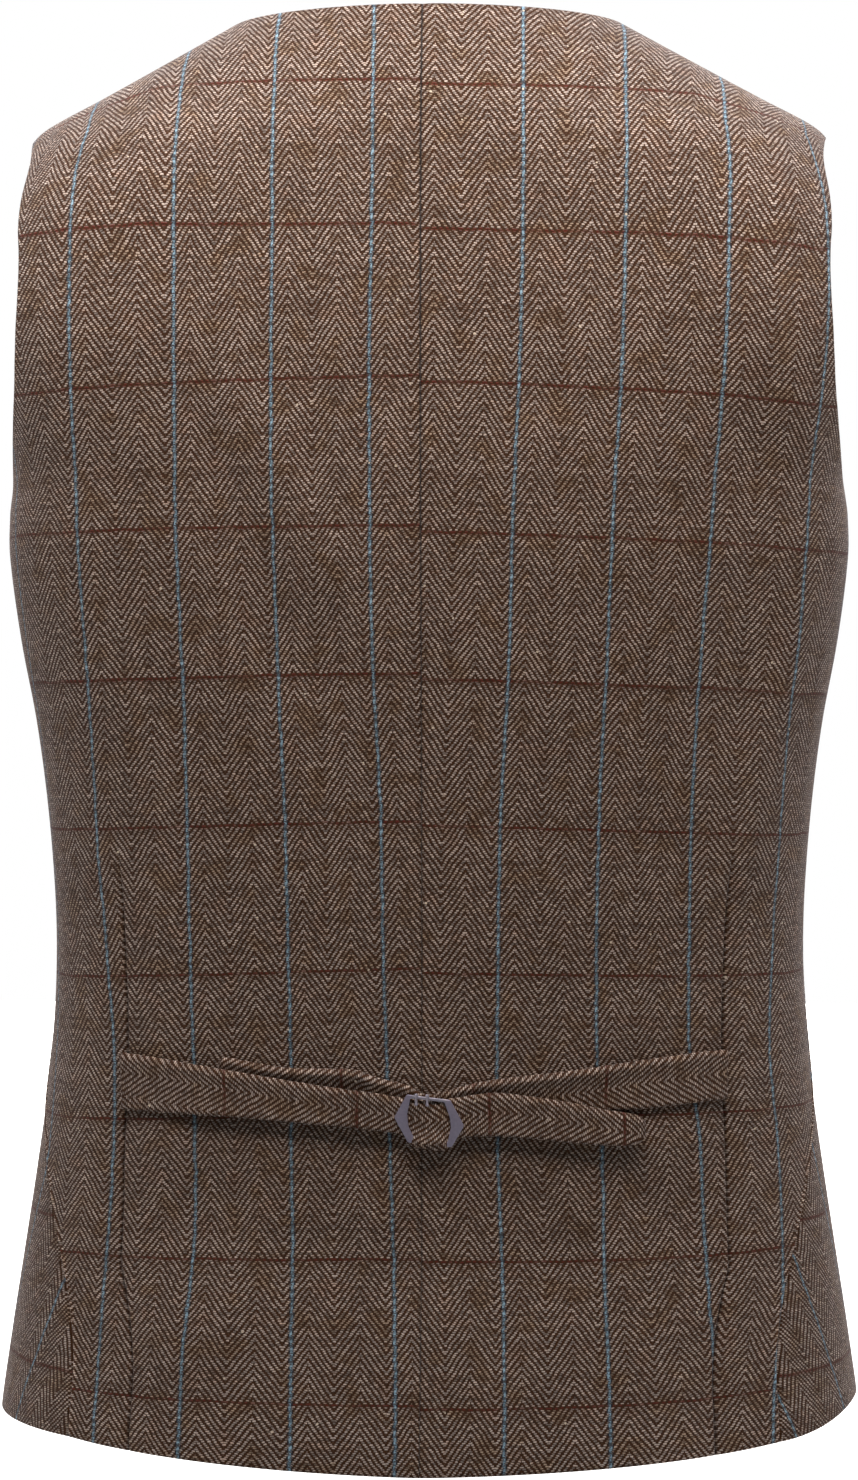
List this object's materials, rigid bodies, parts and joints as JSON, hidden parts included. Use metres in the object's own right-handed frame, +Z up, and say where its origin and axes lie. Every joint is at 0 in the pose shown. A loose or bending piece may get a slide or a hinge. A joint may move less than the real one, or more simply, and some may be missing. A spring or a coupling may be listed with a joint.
{
  "type": "suit waistcoat",
  "caption": "Sleeveless tweed waistcoat in its worn, hollow form, with a V neck, open armholes, a pointed front hem, and a buckled waist strap across the darted back.",
  "frame": {"origin": "midway between the neck ends of the two shoulder seams, at their height, where the wearer's shoulders hold the garment up", "axes": "+X towards the wearer's right, +Y the way the wearer faces, so the back faces -Y, and +Z up"},
  "size_m": [0.3982, 0.264, 0.6841],
  "materials": {
    "tweed": "brown and cream herringbone wool with a light blue and rust windowpane",
    "gunmetal": "dark nickel plate, smooth",
    "button": "brown horn, satin"
  },
  "bodies": {
    "root": {"back_left": "tweed", "back_right": "tweed", "front_left": "tweed", "front_right": "tweed", "strap_left": "tweed", "strap_right": "tweed", "buckle": "gunmetal", "buckle_prong_left": "gunmetal", "buckle_prong_right": "gunmetal", "button_1": "button", "button_2": "button", "button_3": "button", "button_4": "button", "button_5": "button"}
  },
  "joints": []
}
